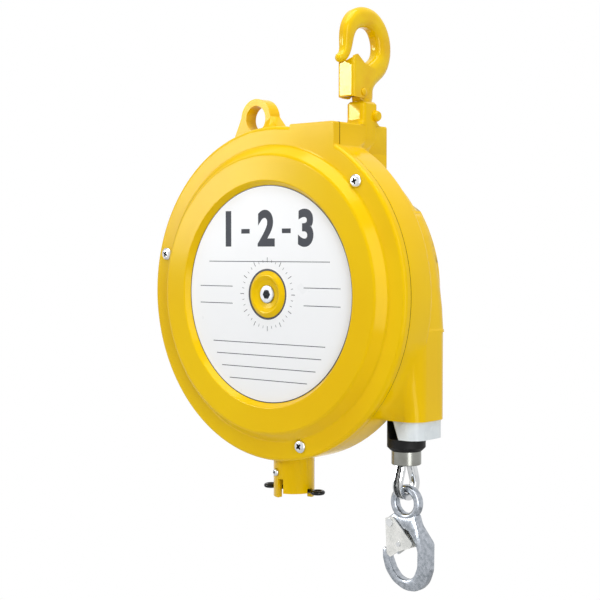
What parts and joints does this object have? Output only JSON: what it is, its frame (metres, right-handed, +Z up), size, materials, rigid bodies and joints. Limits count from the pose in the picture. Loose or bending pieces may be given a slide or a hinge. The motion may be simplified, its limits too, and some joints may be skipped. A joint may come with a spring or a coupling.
{
  "type": "tool balancer",
  "caption": "Spring tool balancer: round yellow case with a dial plate, swivel safety hook, drum lock, and a wire rope that carries a snap hook.",
  "frame": {"origin": "point of the top hook bowl that bears on the beam or trolley ring", "axes": "+Z up along the hook shank; -Y is the front with the dial; +X is the side where the rope leaves the case"},
  "size_m": [0.231, 0.0755, 0.3946],
  "materials": {
    "case_paint": "gloss",
    "hook_paint": "gloss",
    "dial": "satin",
    "plated_steel": "satin",
    "machined_steel": "satin",
    "dark_steel": "satin",
    "drum_metal": "satin",
    "bush_bronze": "satin",
    "rope_steel": "satin",
    "white_plastic": "matte",
    "black_rubber": "matte",
    "pressed_aluminium": "brushed",
    "forged_zinc": "satin",
    "gate_steel": "satin",
    "black_steel": "gloss"
  },
  "bodies": {
    "case": {"main_case": "case_paint", "front_cover": "case_paint", "dial_plate": "dial", "cover_screws": "plated_steel", "neck_pin": "case_paint", "main_shaft": "machined_steel", "shaft_nut": "plated_steel", "shaft_washer": "plated_steel", "shaft_clip": "dark_steel", "spring_arbor": "machined_steel", "ratchet_wheel": "machined_steel", "pawl_pin": "machined_steel", "pawl_spring": "dark_steel", "mainspring": "dark_steel", "rope_nozzle": "white_plastic", "lock_bush": "bush_bronze", "set_screw": "plated_steel", "lock_spring": "dark_steel"},
    "drum_body": {"drum": "drum_metal", "drum_cover": "drum_metal", "drum_cover_screws": "plated_steel", "drum_bushes": "bush_bronze", "rope_coil": "rope_steel", "rope_anchor": "plated_steel"},
    "pawl_body": {"pawl": "machined_steel"},
    "rope_end": {"rope_run": "rope_steel", "rubber_bumper": "black_rubber", "ferrule": "pressed_aluminium", "thimble": "plated_steel", "rope_eye": "rope_steel"},
    "snap_hook": {"snap_body": "forged_zinc", "gate_rivet": "plated_steel", "gate_spring": "dark_steel"},
    "snap_gate_body": {"snap_gate": "gate_steel", "gate_stop_pin": "plated_steel"},
    "hanger": {"top_hook": "hook_paint", "latch_rivet": "plated_steel", "latch_spring": "dark_steel"},
    "latch_body": {"hook_latch": "hook_paint"},
    "drum_lock": {"lock_plunger": "machined_steel", "lock_handle": "black_steel"}
  },
  "joints": [
    {"name": "hook_swivel", "type": "hinge", "parent": "case", "child": "hanger", "pos_m": [0, 0, -0.057], "axis": [0, 0, 1], "continuous": true},
    {"name": "latch_hinge", "type": "hinge", "parent": "hanger", "child": "latch_body", "pos_m": [0, -0.0072, -0.0446], "axis": [-1, 0, 0], "range_deg": [0, 30], "stiffness_Nm_per_rad": 0.02, "springref_deg": -28.65},
    {"name": "drum_spin", "type": "hinge", "parent": "case", "child": "drum_body", "pos_m": [-0.0486, 0.0008, -0.182], "axis": [0, 1, 0], "range_deg": [0, 37.48], "stiffness_Nm_per_rad": 0.3, "springref_deg": -114.59},
    {"name": "rope_payout", "type": "slide", "parent": "case", "child": "rope_end", "axis": [0, 0, -1], "range_m": [0, 0.06]},
    {"name": "snap_swing", "type": "hinge", "parent": "rope_end", "child": "snap_hook", "pos_m": [0.043, -0.0062, -0.3162], "axis": [0, 1, 0], "range_deg": [-35, 35]},
    {"name": "gate_hinge", "type": "hinge", "parent": "snap_hook", "child": "snap_gate_body", "pos_m": [0.0329, -0.0062, -0.3339], "axis": [0, -1, 0], "range_deg": [0, 30], "stiffness_Nm_per_rad": 0.01, "springref_deg": -28.65},
    {"name": "lock_pull", "type": "slide", "parent": "case", "child": "drum_lock", "axis": [0, 0, -1], "range_m": [0, 0.005], "stiffness_N_per_m": 900, "springref_m": -0.004, "deforming": ["lock_spring"]},
    {"name": "pawl_lift", "type": "hinge", "parent": "case", "child": "pawl_body", "pos_m": [-0.02128, -0.0333, -0.16702], "axis": [0, 1, 0], "range_deg": [0, 12], "stiffness_Nm_per_rad": 0.02, "springref_deg": -22.92}
  ],
  "couplings": [
    {"joint": "rope_payout", "follows": "drum_spin", "m_per_rad": 0.0916}
  ]
}
